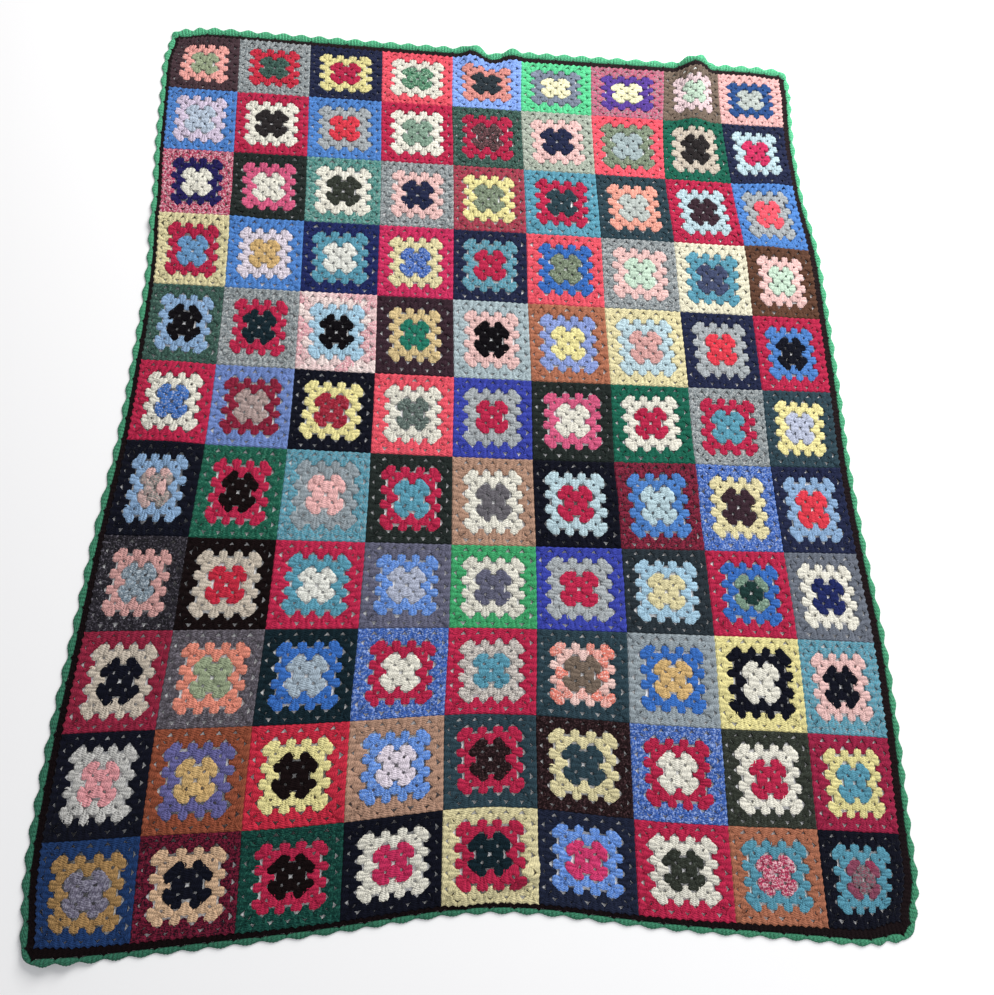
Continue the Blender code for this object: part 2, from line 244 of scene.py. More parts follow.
# Plain yarns, by family: blacks and navies, blues, greys, creams and browns, pinks and reds, greens.
PLAIN_YARNS = {
    # soft black is black lifted a little where it is used in the far rows, as painted light for the haze
    # there.
    "black": "0E0B10", "soft black": "2A2627", "brown black": "150C0D", "green black": "252C2A",
    "teal black": "15262E", "navy black": "11131F", "charcoal": "2C353C", "slate teal": "30444E",
    "dark teal": "2B4049", "navy": "232945", "ink": "20263A", "deep navy": "222B5E",
    "purple navy": "241F58", "slate navy": "434C6A", "royal blue": "3C46A5", "royal": "3D70C0",
    "denim": "2F528C", "dark denim": "213A66", "cornflower": "5284CA", "periwinkle": "748CC8",
    "bright periwinkle": "88AAF0", "periwinkle lilac": "8C9ED6", "dusk purple": "6A689E",
    "teal blue": "5C9AB0", "light blue": "8CACD0", "steel blue": "6C9AC6", "sky": "A8CCE2",
    "pale blue": "BAD3DC", "blue grey": "A6B6C4", "mist": "B8C6D8", "ice grey": "A9BAC0",
    "silver grey": "9DADB0", "lilac": "D6C8DE", "pale lilac": "E0D6E2", "lilac grey": "B4BBD0",
    "indigo": "5A4196", "slate purple": "66677C", "slate grey": "6A707C", "slate blue": "7C8698",
    "warm grey": "69666C", "grey": "949FA6", "light grey": "A8AEB2", "stone": "BEBDBA",
    "pale grey": "BBC3BF", "white": "E2E3DC", "cream": "E8E5D8", "oyster": "CBBFB0", "straw": "E0D6A8",
    "ivory": "E6E1C8", "pale yellow": "E8DE9C", "lemon cream": "F0ECC4", "gold": "D2B078",
    "pale gold": "DCC492", "camel": "A28054", "tan": "B08C78", "beige": "D2B090", "taupe": "796A5E",
    "taupe pink": "B29D99", "brown": "5E4032", "dark brown": "46343A", "plum brown": "3A2831",
    "rust": "93503A", "terracotta": "AC6E55", "salmon": "E6907C", "dusty salmon": "DA9088",
    "peach": "EDA594", "shrimp pink": "EFA8A0", "blush": "EBC2BE", "shell pink": "E9D0D4",
    "pink": "EBB6B4", "dusty pink": "D2A09C", "faded rose": "DA979C", "rose pink": "D75F85",
    "raspberry": "C6325E", "cerise": "D03E70", "crimson": "B82A4C", "dark red": "902840",
    "dark crimson": "9E2848", "coral": "EC5A6A", "scarlet": "DC3E4E", "red": "C42F44", "sage": "98A486",
    "mint": "C4DCC8", "bright green": "5ED094", "mint green": "44A86E", "emerald": "287A66",
    "bottle": "1E6350", "fir": "1F3A38",
}
# Marls: (colour, second colour, share of the second).
MARLS = {
    "brown black marl": ("241719", "493336", 0.28), "black fleck": ("28262C", "625E68", 0.22),
    "charcoal green": ("32362F", "454B44", 0.25), "dark green marl": ("36514A", "54756A", 0.35),
    "cornflower marl": ("6590DC", "8FB2EC", 0.28), "blue marl": ("3E62B0", "8EA6DA", 0.36),
    "blue fleck": ("4372BC", "A8B4D4", 0.25), "teal grey": ("5F9CB0", "86A0AA", 0.30),
    "blue grey marl": ("7C8C99", "B4BFC8", 0.40), "lilac marl": ("6A6678", "8E8C9C", 0.42),
    "dark grey marl": ("565158", "77727C", 0.35), "grey marl": ("7C8488", "AEB3B4", 0.45),
    "oyster marl": ("D2CBC4", "A8A09C", 0.32), "brown marl": ("46383A", "8C5C62", 0.33),
    "rose marl": ("C4627E", "A08C92", 0.38), "crimson marl": ("B23A5C", "E0AEB8", 0.42),
    "mauve grey marl": ("8C5664", "76787C", 0.42), "dusty crimson": ("A83C52", "8A5A55", 0.30),
    "dark red marl": ("862A40", "42202A", 0.35), "wine marl": ("6E1E34", "2A121E", 0.42),
    "red marl": ("962436", "BC5060", 0.30), "sage grey": ("A2AC9E", "BAC2B6", 0.35),
    "sage marl": ("75907F", "98B2A0", 0.33), "olive sage": ("72806A", "98A490", 0.33),
    "grey green marl": ("586662", "7E8C86", 0.38), "bottle marl": ("1E5A48", "3C7862", 0.30),
    "deep bottle marl": ("143E38", "24584C", 0.35), "green marl": ("4C8264", "9DBAA4", 0.33),
    "teal marl": ("4C8882", "82AAA2", 0.40),
}
# Yarns that change from one colour to the other along the thread, and so from group to group.
CHANGING = {
    "pink grey marl": ("9C9894", "DDB4B0"), "salmon ombre": ("EC8676", "F7D3CB"),
    "pink marl": ("DFA6AE", "EEDCD8"), "crimson grey": ("9E3656", "8A4A60"),
}
CHANGING_FLECKS = 0.25  # share of the second colour that shows as flecks all along

# All of them as name: (colour, second colour, share of the second, whether it changes).
YARNS = {name: (colour, colour, 0.0, 0) for name, colour in PLAIN_YARNS.items()}
YARNS.update({name: (*marl, 0) for name, marl in MARLS.items()})
YARNS.update({name: (*colours, CHANGING_FLECKS, 1) for name, colours in CHANGING.items()})
print("yarns in the basket:", len(YARNS))

# %% The chart of squares
# From the far edge to the near one and from left to right, and each row of squares starts a new line. Each
# square is its middle/inner rounds/outer rounds. After a plus sign comes the second round of a middle.
CHART = """
sage/shrimp pink/dark brown|dark green marl/red/grey marl|crimson/pale yellow/navy
green marl/cream/coral|charcoal/dusty salmon/bright periwinkle|lemon cream/slate blue/bright green
lemon cream/indigo/rose marl|mint/shell pink/taupe|pale grey/denim/pink
mist/lilac/cornflower|soft black/cream/crimson|scarlet/light grey/cornflower|sage marl/cream/crimson
brown marl/crimson/dark green marl|navy/blush/sage grey|silver grey/olive sage/coral
soft black/oyster/bottle|raspberry/pale blue/navy
cream/purple navy/crimson marl|cream/rose pink/green black|charcoal green/cream/teal marl
navy/blush/grey marl|olive sage/pale yellow/dusty crimson|dark teal/crimson/teal blue
pale grey/peach/slate teal|plum brown/pale blue/crimson|coral/light grey/cornflower
steel blue/crimson/straw|gold/pale lilac/cornflower|white/teal blue/deep navy|blue marl/straw/raspberry
crimson/teal grey/navy|olive sage/royal/coral|mint/blush/grey marl|slate navy/teal blue/ivory
mint/blush/brown
black/light blue/dark green marl|teal black/crimson/grey marl|black/sky/pink marl
emerald/pale gold/plum brown|black/blush/ice grey|pale yellow/periwinkle lilac/terracotta
dusty pink/pale blue/straw|scarlet/light grey/navy|navy black/cornflower/crimson
blue fleck/cream/crimson|taupe pink/dark red/periwinkle|red marl/pale yellow/navy black
grey green marl/cream/coral|crimson/light grey/royal blue|cream/rose pink/green black
crimson/cream/bottle|teal blue/crimson/grey marl|lilac grey/pale yellow/slate teal
pink grey marl/light blue/navy black|brown black/crimson/bottle marl|pink/grey/teal grey
teal blue/crimson/green black|warm grey/cream/tan|crimson/pale blue/navy black
pale blue/cornflower/dark red marl|plum brown/straw/blue marl|scarlet/light blue/navy
blue grey marl/dusty pink/black fleck|red/oyster/brown black|white/teal blue/crimson
lilac grey/cornflower marl/slate purple|slate purple/cream/mint green|crimson/light grey/royal blue
straw/sky/charcoal|fir+sage marl/royal/crimson|deep navy/cream/slate grey
navy black/oyster/dark red|sage/salmon/dark grey marl|blue grey/royal/teal black|cream/crimson/blue marl
teal blue/oyster marl/crimson|taupe/salmon ombre/slate teal|gold/royal/grey|cream/navy black/pale yellow
navy black/blush/teal grey
faded rose/stone/navy black|gold/dusk purple/rust|brown black/pale yellow/red
pale lilac/cornflower marl/tan|brown black marl/crimson/slate teal|slate teal/straw/brown black marl
cream/crimson/blue marl|crimson/cream/charcoal green|teal blue/pale yellow/dark crimson
lilac marl/camel/dark denim|navy black/beige/wine marl|brown black/crimson/deep bottle marl
raspberry/cream/navy black|teal black/crimson/straw|cerise/cornflower marl/ink
charcoal green/cream/crimson|crimson marl/teal blue/terracotta
mauve grey marl+crimson grey/teal blue/navy black
"""
SQUARES = [square.split("/") for square in CHART.strip().replace("\n", "|").split("|")]
assert len(SQUARES) == COLUMNS * ROWS and all(len(square) == 3 for square in SQUARES)
print("squares in the chart:", len(SQUARES), "- different ones:", len({tuple(s) for s in SQUARES}))

# %% [markdown]
# ## One fan of three trebles
#
# A granny square grows in rounds. In each round, groups of three treble stitches are worked into the spaces
# between the groups of the round before, so round 1 has 1 group a side, round 2 has 2, and so on to 6. Three
# stitches share one narrow foot and spread into a wide head, like a small fan with three ribs.
#
# The fans could be copied instances of one model, but every one is squeezed, leaned and lifted a little
# differently. So a fan is written as a surface of two parameters, and all fans are worked out as one array:
# `t` runs from its foot to its head, and `ring` runs round its cross-section, over three ribs and back below.

# %% The table of rounds
# In half squares: where the foot starts and the head ends, half the head's and the neck's width, which part
# of the width is left at the very end, how far the groups stand apart, how far out the corner is filled
# (across plus along, from the middle), how far a corner group draws back from the corner space, and at which
# part of its length a group begins to widen. The later it does, the larger the gaps between the feet.
ROUND_COLUMNS = ("foot", "head", "half", "neck", "end", "apart", "corner", "space", "widens")
ROUNDS = np.array(
    [
        (0.030, 0.272, 0.156, 0.070, 0.74, 0.333, 0.42, 0.042, 0.30),
        (0.182, 0.408, 0.127, 0.067, 0.69, 0.345, 0.69, 0.0, 0.32),
        (0.308, 0.568, 0.147, 0.078, 0.76, 0.338, 1.00, 0.043, 0.27),
        (0.455, 0.711, 0.115, 0.066, 0.79, 0.328, 1.30, 0.0, 0.31),
        (0.608, 0.854, 0.168, 0.083, 0.82, 0.330, 1.62, 0.024, 0.31),
        (0.765, 1.000, 0.184, 0.101, 1.00, 0.333, 9.0, 0.0, 0.35),
    ]
)
assert ROUNDS.shape[1] == len(ROUND_COLUMNS)
# Each group as its round n, its side of the square, and its number k along that side.
GROUPS = np.array([(n, side, k) for n in range(len(ROUNDS)) for side in range(4) for k in range(n + 1)])
LAST, OUTER_YARN = len(ROUNDS) - 1, 4  # the last round, and the first one in the outer yarn
print("groups of trebles in a square:", len(GROUPS), "in the blanket:", len(GROUPS) * len(SQUARES))

# %% The parameters of a fan
STATIONS = np.array([0.0, 0.12, 0.36, 0.58, 0.80, 0.94, 1.0])  # the first is a single point
CROWN = np.array([2.8, 4.2, 4.5, 4.8, 5.0, 4.8, 3.8]) * MM  # height of the ribs at each station
# The flanks end just over a millimetre above the floor, so light that falls into a gap gets lost below them,
# and the gap looks grey. A line of points under the middle closes each fan.
BELLY = np.array([1.6, 1.4, 1.2, 1.1, 1.1, 1.2, 1.4]) * MM
UNDER_LINE = 0.25  # of the belly's height
# Round the cross-section: how far across, how much of the crown, and how far the tip reaches past the head.
# The three ribs stand at -0.82, 0 and 0.82, and the last point is the line below.
RIB_AT = 0.82
RING_ACROSS = np.array([-1.0, -RIB_AT, -0.42, 0.0, 0.42, RIB_AT, 1.0, 0.0])
RING_CROWN = np.array([0.42, 0.93, 0.54, 1.0, 0.54, 0.93, 0.42, 0.0])
RING_TIP = np.array([-0.9, 0.6, 0.0, 1.0, 0.0, 0.6, -0.9, 0.0])
# As shares of a group's length: where its end narrows, where its three heads round off and where the seam
# presses it down, then over how much of it the width grows, and the cut along the diagonal.
NARROW_FROM, TIP_FROM, SEAM_FROM = 0.80, 0.70, 0.94
WIDEN_OVER, CUT_OVER = 0.44, 0.2
NARROW_POWER = 1.5
LEAN_RATE = 1.1  # a group has moved over to its head's place a little before its end

# %% How the groups sit in their square
# In half squares:
TIP_REACH = 0.014  # how far a stitch's rounded head stands out past its flanks
RIM_REACH = 0.045  # the same where the square meets the dark band, whose stitches pull the heads out
MITRE, SPACE_LEAST = 0.030, 0.01  # a corner group reaches past the diagonal, unless it draws back this far
LEAN, SPLAY = 0.012, 0.012  # all heads lean to one side, and the feet at the corners stand apart
# As shares of a group's length, where it draws back from a corner space most, and how far to either side:
SPACE_AT, SPACE_HALF = 0.58, 0.16
SEAM_SINK = 0.45  # how much lower the heads lie where the sewing pulls two squares together
# How uneven handwork is, as standard deviations: the place of a head and of a foot and the length of a group
# in half squares, then its width and height as shares of themselves. The last round is held by the seams.
UNEVEN_HEAD, UNEVEN_FOOT, UNEVEN_LONG, UNEVEN_WIDE, UNEVEN_HIGH = 0.010, 0.007, 0.010, 0.05, 0.07
HELD_BY_SEAM = 0.25
# The dark yarns are fluffier, so they fill the gaps around them: how much longer a group is in each round, in
# half squares, how much wider its neck and its head are, and how much of all this is left in the two outer
# rounds, which are held taut.
FLUFF_LONG = np.array([0.010, 0.040, 0.010, 0.034, 0.010, 0.0])
FLUFF_NECK, FLUFF_HEAD, FLUFF_OUTER = 0.25, 0.07, 0.25

rng = np.random.default_rng(66)


def fans_of_squares(column, row, fluffy):
    """All fans of many squares at once, as flat points in half squares and heights w.

    Along a fan its centre moves from the foot to the head, and its half width grows from the neck to the head
    by a smooth step, then narrows at the end. A fan at a corner is cut off along the square's diagonal, and
    draws back by a bell curve round the corner space. The arrays' axes are square, group, station and ring.
    fluffy is 0 to 1 for each group of each square.
    """
    n, side, k = GROUPS.T
    foot, head, half, neck, end, apart, filled, space, widens = ROUNDS[n].T
    shape = (len(column), len(GROUPS), 1, 1)

    def some(size):
        return rng.normal(0.0, size, shape)

    def each(values):
        return values[None, :, None, None]

    loose = each(np.where(n == LAST, HELD_BY_SEAM, 1.0))
    t = STATIONS[None, None, :, None]
    centre_top = (k - n / 2) * apart
    left, right = k == 0, k == n  # the groups at the corners; the first round's are at both
    centre_foot = centre_top + SPLAY * right - SPLAY * left
    top = each(centre_top) + some(UNEVEN_HEAD) * loose + LEAN
    base = each(centre_foot) + some(UNEVEN_FOOT)
    full = (fluffy * np.where(n < OUTER_YARN, 1.0, FLUFF_OUTER))[:, :, None, None]
    head_wide = each(half) * (1 + some(UNEVEN_WIDE) * loose) * (1 + FLUFF_HEAD * full)
    neck_wide = each(neck) * (1 + FLUFF_NECK * full)
    grow = smooth((t - each(widens)) / WIDEN_OVER)
    finish = 1 - (1 - each(end)) * np.clip((t - NARROW_FROM) / (1 - NARROW_FROM), 0, 1) ** NARROW_POWER
    wide = (neck_wide + (head_wide - neck_wide) * grow) * finish
    centre = base + (top - base) * smooth(t * LEAN_RATE)

    at_rim = (
        ((side == 0) & (row[:, None] == 0))
        | ((side == 1) & (column[:, None] == 0))
        | ((side == 2) & (row[:, None] == ROWS - 1))
        | ((side == 3) & (column[:, None] == COLUMNS - 1))
    ) & (n == LAST)
    reach = np.where(at_rim, RIM_REACH, TIP_REACH)[:, :, None, None]
    long = each(head - foot) + some(UNEVEN_LONG) * loose + each(FLUFF_LONG[n]) * full
    v = each(foot) + long * t + reach * RING_TIP * np.clip((t - TIP_FROM) / (1 - TIP_FROM), 0, 1)

    gap = each(space) * np.exp(-(((t - SPACE_AT) / SPACE_HALF) ** 2))
    cut = np.minimum(v - gap + np.where(gap > SPACE_LEAST, 0, MITRE), each(filled) - v)
    stretch = smooth(t / CUT_OVER)
    to_left = np.where(each(left), wide + (centre + cut - wide) * stretch, wide)
    to_right = np.where(each(right), wide + (cut - centre - wide) * stretch, wide)
    u = centre + RING_ACROSS * np.where(RING_ACROSS < 0, to_left, to_right)

    lift = 1 + some(UNEVEN_HIGH)
    sunk = 1 - SEAM_SINK * each(n == LAST) * np.clip((t - SEAM_FROM) / (1 - SEAM_FROM), 0, 1)
    w = (BELLY[:, None] + (CROWN - BELLY)[:, None] * RING_CROWN) * lift * sunk
    w = np.where(RING_CROWN == 0, UNDER_LINE * BELLY[:, None], w)

    turn = each(side) * (math.pi / 2)
    x = u * np.cos(turn) - v * np.sin(turn)
    y = u * np.sin(turn) + v * np.cos(turn)
    return x, y, w


# %% Skew the squares and place them
OPEN_AT = (1.5 * PITCH_X + 0.0080, HALF_Y - 6 * PITCH_Y - 0.0115)  # one corner has come away from its seam
OPEN_HALF = (0.0062, 0.0095)
SQUARE_TURN, SQUARE_SIZE, SQUARE_MOVE = 0.035, 0.035, 0.018  # radians, a share, and half squares


def pulled_open(px, py):
    """Leaves an oval gap: a point r from its middle moves out to (r^3 + 1)^(1/3), in radii of the oval."""
    ax, ay = (px - OPEN_AT[0]) / OPEN_HALF[0], (py - OPEN_AT[1]) / OPEN_HALF[1]
    r = np.maximum(np.hypot(ax, ay), 1e-6)
    k = (r**3 + 1) ** (1 / 3) / r
    return OPEN_AT[0] + ax * k * OPEN_HALF[0], OPEN_AT[1] + ay * k * OPEN_HALF[1]


def placed(column, row, x, y):
    """Each square is turned, pulled and shifted a little in its middle, and not at all at its seams."""
    shape = (len(column), 1, 1, 1)
    inside = np.clip(1 - np.maximum(np.abs(x), np.abs(y)) ** 2, 0, 1)
    angle = rng.normal(0, SQUARE_TURN, shape) * inside
    size = 1 + rng.normal(0, SQUARE_SIZE, shape) * inside
    x, y = (x * np.cos(angle) - y * np.sin(angle)) * size, (x * np.sin(angle) + y * np.cos(angle)) * size
    x = x + rng.normal(0, SQUARE_MOVE, shape) * inside
    y = y + rng.normal(0, SQUARE_MOVE, shape) * inside
    cx = ((column + 0.5) * PITCH_X - HALF_X)[:, None, None, None]
    cy = (HALF_Y - (row + 0.5) * PITCH_Y)[:, None, None, None]
    return pulled_open(cx + x * PITCH_X / 2, cy + y * PITCH_Y / 2)


# %% The net of faces of one fan
def fan_faces():
    """Vertex numbers of one fan's faces: triangles round the foot, four-sided bands, one cap at the head."""
    ring = len(RING_ACROSS)
    a = np.arange(ring)
    b = (a + 1) % ring
    foot = np.stack([1 + a, 1 + b, 0 * a], axis=1)
    starts = 1 + ring * np.arange(len(STATIONS) - 2)[:, None]
    bands = np.stack([starts + ring + a, starts + ring + b, starts + b, starts + a], axis=-1).reshape(-1, 4)
    cap = 1 + ring * (len(STATIONS) - 2) + a
    sizes = [3] * len(foot) + [4] * len(bands) + [ring]
    return np.concatenate([foot.ravel(), bands.ravel(), cap]), np.array(sizes)


def mesh_from_arrays(name, points, corners, sizes):
    """A mesh straight from arrays: points, the vertex number at each corner of each face, and face sizes."""
    mesh = bpy.data.meshes.new(name)
    mesh.vertices.add(len(points))
    mesh.vertices.foreach_set("co", np.ascontiguousarray(points, np.float32).ravel())
    mesh.loops.add(len(corners))
    mesh.loops.foreach_set("vertex_index", np.ascontiguousarray(corners, np.int32))
    mesh.polygons.add(len(sizes))
    mesh.polygons.foreach_set("loop_start", (np.cumsum(sizes) - sizes).astype(np.int32))
    mesh.update(calc_edges=True)
    mesh.polygons.foreach_set("use_smooth", np.ones(len(sizes), bool))
    return mesh


def piece(name, points, corners, sizes, along):
    """An object at the origin that rides on the part, with a UV map in metres along the yarn."""
    mesh = mesh_from_arrays(name, points - SHIFT, corners, sizes)
    uv = mesh.uv_layers.new(name="along_the_yarn")
    uv.data.foreach_set("uv", np.ascontiguousarray(along[corners], np.float32).ravel())
    obj = bpy.data.objects.new(name, mesh)
    bpy.context.scene.collection.objects.link(obj)
    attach(obj, "root")
    return obj


corners_of_fan, sizes_of_fan = fan_faces()
TRIANGLES_A_FAN = int((sizes_of_fan - 2).sum())
print("triangles in a fan:", TRIANGLES_A_FAN, "in all:", TRIANGLES_A_FAN * len(GROUPS) * len(SQUARES))

# %% [markdown]
# ## Yarn as a material
#
# All squares share one yarn material. What differs from group to group comes from attributes on the points:
# the yarn's colour, its second colour and the share of that. A noise pattern picks the flecks. The twist of
# the plies is a slanting wave on the UV map, which runs along each stitch, and a fine noise adds the fuzz.
# The wave could be modelled too, but it stands out by less than a millimetre, so a bump gives it.


# %% Shader maths as Python expressions
class Wire:
    """A number on its way through a material. Operators on it add Math nodes to the material."""

    def __init__(self, tree, socket):
        self.tree, self.socket = tree, socket

    def node(self, kind, settings=None, values=None):
        """Adds a node, with its settings first and then its sockets' values or links. Returns its outputs."""
        made = self.tree.nodes.new(kind)
        for key, value in (settings or {}).items():
            setattr(made, key, value)
        for key, value in (values or {}).items():
            if isinstance(value, Wire):
                self.tree.links.new(value.socket, made.inputs[key])
            else:
                made.inputs[key].default_value = value
        return [Wire(self.tree, output) for output in made.outputs]

    def noise(self, place, scale, detail, roughness=0.5):
        values = {"Vector": place, "Scale": scale, "Detail": detail, "Roughness": roughness}
        return self.node("ShaderNodeTexNoise", {}, values)[0]

    def math(self, operation, first, second=0.0, clamp=False):
        settings = {"operation": operation, "use_clamp": clamp}
        return self.node("ShaderNodeMath", settings, {0: first, 1: second})[0]

    def __add__(self, other):
        return self.math("ADD", self, other)

    def __sub__(self, other):
        return self.math("SUBTRACT", self, other)

    def __mul__(self, other):
        return self.math("MULTIPLY", self, other)

    def sine(self):
        return self.math("SINE", self)

    def clamped(self):
        return self.math("ADD", self, 0.0, clamp=True)

    def mixed(self, first, second):
        """The colour between two colours, with this number as the share of the second."""
        return self.node("ShaderNodeMix", {"data_type": "RGBA"}, {0: self, 6: first, 7: second})[2]


YARN_ROUGHNESS, SHEEN_ROUGHNESS, YARN_SPECULAR = 0.88, 0.35, 0.05  # wool is matt, with a faint sheen


def new_yarn(name, sheen):
    """A material with its shader's constants set, and a first wire to build on."""
    material = bpy.data.materials.new(name)
    material.use_nodes = True
    tree = material.node_tree
    shader = tree.nodes["Principled BSDF"]
    shader.inputs["Roughness"].default_value = YARN_ROUGHNESS
    shader.inputs["Sheen Weight"].default_value = sheen
    shader.inputs["Sheen Roughness"].default_value = SHEEN_ROUGHNESS
    shader.inputs["Specular IOR Level"].default_value = YARN_SPECULAR
    return material, tree, shader, Wire(tree, None)


# %% The twist and fuzz that every yarn has
POST = 0.0067  # from one stitch to the next, across a group, in the UV map
LOOP = 0.0027  # from one strand of a stitch to the next, along it
STRAND_SLANT, STRAND_BEND = 0.9, 5.0
FUZZ_SCALE, BEND_SCALE, FLECK_SCALE, DRIFT_SCALE = 520.0, 210.0, 330.0, 60.0  # a larger scale is finer
# How much of the stitch, the strand and the fuzz goes into the bump, and how much into the shade:
BUMP_OF_POST, BUMP_OF_STRAND, BUMP_OF_FUZZ, BUMP_HEIGHT = 0.40, 0.28, 1.30, 0.0013
SHADE_OF_POST, SHADE_OF_STRAND, SHADE_OF_FUZZ, SHADE_LEAST = 0.10, 0.08, 0.74, 0.51


def twisted(wire, depth):
    """Height and shade of the strands over the surface: (bump, place, shade).

    A cosine across the group stands high on each of its stitches and low between them. A sine along it,
    slanted by the place across, is the strand that winds round the stitch, bent a little by noise. A finer
    noise is fuzz.
    """
    uv = wire.node("ShaderNodeUVMap", {"uv_map": "along_the_yarn"})[0]
    across, along = wire.node("ShaderNodeSeparateXYZ", {}, {0: uv})[:2]
    place = wire.node("ShaderNodeTexCoord")[3]  # its Object output
    fuzz = wire.noise(place, FUZZ_SCALE, 3.0)
    bend = wire.noise(place, BEND_SCALE, 1.0)
    turn = 2 * math.pi
    post = (across * (turn / POST) + turn / 4).sine()
    strand = (along * (turn / LOOP) + across * (STRAND_SLANT * turn / POST) + bend * STRAND_BEND).sine()
    height = post * BUMP_OF_POST + strand * BUMP_OF_STRAND + fuzz * BUMP_OF_FUZZ
    relief = {"Strength": depth, "Distance": BUMP_HEIGHT, "Height": height}
    bump = wire.node("ShaderNodeBump", {}, relief)[0]
    shade = fuzz * SHADE_OF_FUZZ + post * SHADE_OF_POST + strand * SHADE_OF_STRAND + SHADE_LEAST
    return bump, place, shade


# %% The yarn of the squares
# The flecks of a marl are where a noise is above a level that its share sets. A plain yarn has none.
FLECK_LEVEL, FLECK_SHARP, FLECK_LEAST = 0.34, 11.0, 0.05
square_yarn, tree, shader, wire = new_yarn("square_yarn", 0.06)
bump, place, shade = twisted(wire, 0.75)
yarn_colour = wire.node("ShaderNodeAttribute", {"attribute_name": "yarn"})[0]
second_colour = wire.node("ShaderNodeAttribute", {"attribute_name": "second"})[0]
share = wire.node("ShaderNodeAttribute", {"attribute_name": "share"})[2]
flecks = wire.noise(place, FLECK_SCALE, 2.0, 0.6)
above = (flecks - 0.5 + (share - 0.5) * FLECK_LEVEL) * FLECK_SHARP + 0.5
picked = above.clamped() * (share * (1 / FLECK_LEAST)).clamped()
marled = picked.mixed(yarn_colour, second_colour)
dark = wire.node("ShaderNodeVectorMath", {"operation": "SCALE"}, {0: marled, "Scale": shade})[0]
tree.links.new(dark.socket, shader.inputs["Base Color"])
tree.links.new(bump.socket, shader.inputs["Normal"])
print("nodes in the square yarn:", len(tree.nodes))


# %% The plain yarns of the band and the edging
# Painted light on the band and the edging: the share of the paler far colour grows towards the far right
# corner, with a little noise.
PAINTED_LIGHT_ALONG, PAINTED_LIGHT_ACROSS, PAINTED_LIGHT_LEAST, PAINTED_LIGHT_DRIFT = 0.45, 0.28, 0.31, 0.22


def plain_yarn(name, near, far, depth, sheen):
    """One yarn with the same twist and fuzz, and painted light: its colour goes over to the far one towards
    the far right corner, where the lamp is, so it is paler there.
    """
    material, tree, shader, wire = new_yarn(name, sheen)
    bump, place, shade = twisted(wire, depth)
    x, y = wire.node("ShaderNodeSeparateXYZ", {}, {0: place})[:2]
    drift = wire.noise(place, DRIFT_SCALE, 2.0)
    painted_light = (y * PAINTED_LIGHT_ALONG + x * PAINTED_LIGHT_ACROSS + PAINTED_LIGHT_LEAST + drift * PAINTED_LIGHT_DRIFT).clamped()
    mixed = painted_light.mixed((*linear(near), 1.0), (*linear(far), 1.0))
    dark = wire.node("ShaderNodeVectorMath", {"operation": "SCALE"}, {0: mixed, "Scale": shade})[0]
    tree.links.new(dark.socket, shader.inputs["Base Color"])
    tree.links.new(bump.socket, shader.inputs["Normal"])
    return material


band_yarn = plain_yarn("band_yarn", "120A0C", "2C2224", 0.7, 0.03)
edging_yarn = plain_yarn("edging_yarn", "37705A", "70DEA6", 1.0, 0.06)
print("three yarn materials")

# %% [markdown]
# ## The squares
#
# A whole row of squares is one mesh, which keeps each piece well under the size that still exports in full.
# Colours are worked out a group at a time: the round says which of the square's yarns it is, every group is a
# shade lighter or darker than its neighbours, and a yarn that changes colour does so from group to group.


# %% Yarns and colours of the groups
FLUFFY_BELOW = 0.05  # brightness of a yarn, as linear light
TONE_OF_GROUP, TONE_OF_SQUARE = 0.035, 0.03  # how uneven the colours are
CHANGE_FROM, CHANGE_OVER = 0.2, 2 / 3  # of the random number that says how far a changing yarn has got


def names_of_groups(square_numbers):
    """The yarn of every group of these squares, by name."""
    names = []
    for number in square_numbers:
        middle, inner, outer = SQUARES[number]
        first, _, then = middle.partition("+")
        rounds = [first, then or first, inner, inner, outer, outer]
        names.append([rounds[n] for n in GROUPS[:, 0]])
    return names


def fluff(names):
    """How fluffy each group is: 1 for a black yarn, less for a paler one, and 0 from a mid tone up."""
    colour = np.array([[linear(YARNS[name][0]) for name in square] for square in names])
    return 1 - np.clip(colour.mean(axis=-1) / FLUFFY_BELOW, 0, 1)


def yarns_of_groups(names):
    """(colour, second colour, share) of every group, as arrays over square and group."""
    colour = np.array([[linear(YARNS[name][0]) for name in square] for square in names])
    second = np.array([[linear(YARNS[name][1]) for name in square] for square in names])
    share = np.array([[YARNS[name][2] for name in square] for square in names])
    changes = np.array([[YARNS[name][3] for name in square] for square in names])
    tone = 1 + rng.normal(0, TONE_OF_GROUP, share.shape) + rng.normal(0, TONE_OF_SQUARE, (len(names), 1))
    run = smooth((rng.random(share.shape)[..., None] - CHANGE_FROM) / CHANGE_OVER)
    colour = np.where(changes[..., None] > 0, colour + (second - colour) * run, colour)
    return np.clip(colour * tone[..., None], 0, 1), second, share


def paint(mesh, name, values, points_each):
    """A colour or number attribute, the same for all the points of a group."""
    is_colour = values.shape[-1] == 3
    if is_colour:
        values = np.concatenate([values, np.ones((*values.shape[:-1], 1))], axis=-1)
    at_points = np.repeat(values.reshape(-1, values.shape[-1]), points_each, axis=0)
    layer = mesh.attributes.new(name, "FLOAT_COLOR" if is_colour else "FLOAT", "POINT")
    layer.data.foreach_set("color" if is_colour else "value", at_points.astype(np.float32).ravel())


# %% Make the eleven rows
FANS = COLUMNS * len(GROUPS)  # in one row
POINTS_A_FAN = 1 + len(RING_ACROSS) * (len(STATIONS) - 1)
# The UV map is in metres: across a group its three stitches lie side by side, and along it is its length.
ACROSS = RING_ACROSS * POST / RIB_AT
LENGTHS = np.tile((ROUNDS[:, 1] - ROUNDS[:, 0])[GROUPS[:, 0]], COLUMNS)[:, None, None] * PITCH_X / 2
TWIST_STARTS = 0.05  # the strands of every group start at random within this length


